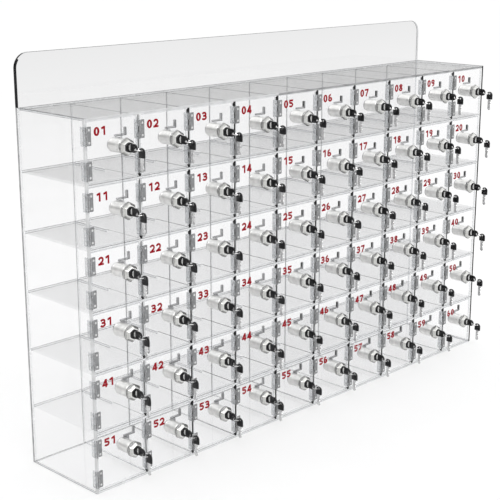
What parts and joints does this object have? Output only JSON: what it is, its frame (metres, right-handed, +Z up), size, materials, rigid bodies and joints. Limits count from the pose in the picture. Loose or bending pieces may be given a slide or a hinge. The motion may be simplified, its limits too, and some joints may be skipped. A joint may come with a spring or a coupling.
{
  "type": "cell phone locker box",
  "caption": "Clear acrylic phone locker: a grid of compartments with hinged transparent doors, cam locks with keys and a raised back plate.",
  "frame": {"origin": "centre of the cabinet's width and depth, on the underside that it stands on", "axes": "+X along the width to the viewer's right, -Y out of the doors, +Y to the back plate, +Z up"},
  "size_m": [1.0052, 0.2108, 0.665],
  "materials": {
    "cabinet_acrylic": "clear polished acrylic sheet",
    "door_acrylic": "clear polished acrylic sheet",
    "hinge_plastic": "clear moulded plastic",
    "steel_pin": "bright steel wire",
    "lock_chrome": "bright plated zinc",
    "cam_steel": "zinc-plated steel",
    "key_black": "black moulded bow on a plated steel blade"
  },
  "bodies": {
    "cabinet": {"back_panel": "cabinet_acrylic", "left_side_panel": "cabinet_acrylic", "right_side_panel": "cabinet_acrylic", "top_panel": "cabinet_acrylic", "bottom_panel": "cabinet_acrylic", "shelf_1": "cabinet_acrylic", "shelf_2": "cabinet_acrylic", "shelf_3": "cabinet_acrylic", "shelf_4": "cabinet_acrylic", "shelf_5": "cabinet_acrylic", "divider_1": "cabinet_acrylic", "divider_2": "cabinet_acrylic", "divider_3": "cabinet_acrylic", "divider_4": "cabinet_acrylic", "divider_5": "cabinet_acrylic", "divider_6": "cabinet_acrylic", "divider_7": "cabinet_acrylic", "divider_8": "cabinet_acrylic", "divider_9": "cabinet_acrylic", "wall_hinge_leaves": "hinge_plastic", "hinge_pins": "steel_pin", "strikes": "cabinet_acrylic"},
    "door_01": {"door_01_panel": "door_acrylic", "door_01_hinge_leaves": "hinge_plastic", "door_01_lock_body": "lock_chrome"},
    "lock_plug_01": {"door_01_plug": "lock_chrome", "door_01_cam": "cam_steel"},
    "key_01": {"door_01_key": "key_black"},
    "key_ring_01": {"door_01_key_ring": "steel_pin"},
    "spare_key_01": {"door_01_spare_key": "key_black"},
    "doors_column_01": {"column_01_doors": "door_acrylic", "column_01_locks": "lock_chrome", "column_01_keys": "key_black"},
    "doors_column_02": {"column_02_doors": "door_acrylic", "column_02_locks": "lock_chrome", "column_02_keys": "key_black"},
    "doors_column_03": {"column_03_doors": "door_acrylic", "column_03_locks": "lock_chrome", "column_03_keys": "key_black"},
    "doors_column_04": {"column_04_doors": "door_acrylic", "column_04_locks": "lock_chrome", "column_04_keys": "key_black"},
    "doors_column_05": {"column_05_doors": "door_acrylic", "column_05_locks": "lock_chrome", "column_05_keys": "key_black"},
    "doors_column_06": {"column_06_doors": "door_acrylic", "column_06_locks": "lock_chrome", "column_06_keys": "key_black"},
    "doors_column_07": {"column_07_doors": "door_acrylic", "column_07_locks": "lock_chrome", "column_07_keys": "key_black"},
    "doors_column_08": {"column_08_doors": "door_acrylic", "column_08_locks": "lock_chrome", "column_08_keys": "key_black"},
    "doors_column_09": {"column_09_doors": "door_acrylic", "column_09_locks": "lock_chrome", "column_09_keys": "key_black"},
    "doors_column_10": {"column_10_doors": "door_acrylic", "column_10_locks": "lock_chrome", "column_10_keys": "key_black"}
  },
  "joints": [
    {"name": "door_01_hinge", "type": "hinge", "parent": "cabinet", "child": "door_01", "pos_m": [-0.5005, -0.0865, 0.53275], "axis": [0, 0, -1], "range_deg": [0, 100]},
    {"name": "lock_01_turn", "type": "hinge", "parent": "door_01", "child": "lock_plug_01", "pos_m": [-0.426, -0.084, 0.534], "axis": [0, -1, 0], "range_deg": [0, 90]},
    {"name": "key_01_pull", "type": "slide", "parent": "lock_plug_01", "child": "key_01", "axis": [0, -1, 0], "range_m": [0, 0.022]},
    {"name": "key_ring_01_turn", "type": "hinge", "parent": "key_01", "child": "key_ring_01", "pos_m": [-0.426, -0.11345, 0.5331], "axis": [0, 0, 1], "range_deg": [-90, 0]},
    {"name": "spare_key_01_swing", "type": "hinge", "parent": "key_ring_01", "child": "spare_key_01", "pos_m": [-0.426, -0.12025, 0.5331], "axis": [-1, 0, 0], "range_deg": [-20, 110]},
    {"name": "doors_column_01_hinge", "type": "hinge", "parent": "cabinet", "child": "doors_column_01", "pos_m": [-0.5005, -0.0865, 0.2915], "axis": [0, 0, -1], "range_deg": [0, 100]},
    {"name": "doors_column_02_hinge", "type": "hinge", "parent": "cabinet", "child": "doors_column_02", "pos_m": [-0.4005, -0.0865, 0.2915], "axis": [0, 0, -1], "range_deg": [0, 100]},
    {"name": "doors_column_03_hinge", "type": "hinge", "parent": "cabinet", "child": "doors_column_03", "pos_m": [-0.3005, -0.0865, 0.2915], "axis": [0, 0, -1], "range_deg": [0, 100]},
    {"name": "doors_column_04_hinge", "type": "hinge", "parent": "cabinet", "child": "doors_column_04", "pos_m": [-0.2005, -0.0865, 0.2915], "axis": [0, 0, -1], "range_deg": [0, 100]},
    {"name": "doors_column_05_hinge", "type": "hinge", "parent": "cabinet", "child": "doors_column_05", "pos_m": [-0.1005, -0.0865, 0.2915], "axis": [0, 0, -1], "range_deg": [0, 100]},
    {"name": "doors_column_06_hinge", "type": "hinge", "parent": "cabinet", "child": "doors_column_06", "pos_m": [-0.0005, -0.0865, 0.2915], "axis": [0, 0, -1], "range_deg": [0, 100]},
    {"name": "doors_column_07_hinge", "type": "hinge", "parent": "cabinet", "child": "doors_column_07", "pos_m": [0.0995, -0.0865, 0.2915], "axis": [0, 0, -1], "range_deg": [0, 100]},
    {"name": "doors_column_08_hinge", "type": "hinge", "parent": "cabinet", "child": "doors_column_08", "pos_m": [0.1995, -0.0865, 0.2915], "axis": [0, 0, -1], "range_deg": [0, 100]},
    {"name": "doors_column_09_hinge", "type": "hinge", "parent": "cabinet", "child": "doors_column_09", "pos_m": [0.2995, -0.0865, 0.2915], "axis": [0, 0, -1], "range_deg": [0, 100]},
    {"name": "doors_column_10_hinge", "type": "hinge", "parent": "cabinet", "child": "doors_column_10", "pos_m": [0.3995, -0.0865, 0.2915], "axis": [0, 0, -1], "range_deg": [0, 100]}
  ],
  "couplings": [
    {"joint": "key_ring_01_turn", "follows": "lock_01_turn", "ratio": -1}
  ]
}
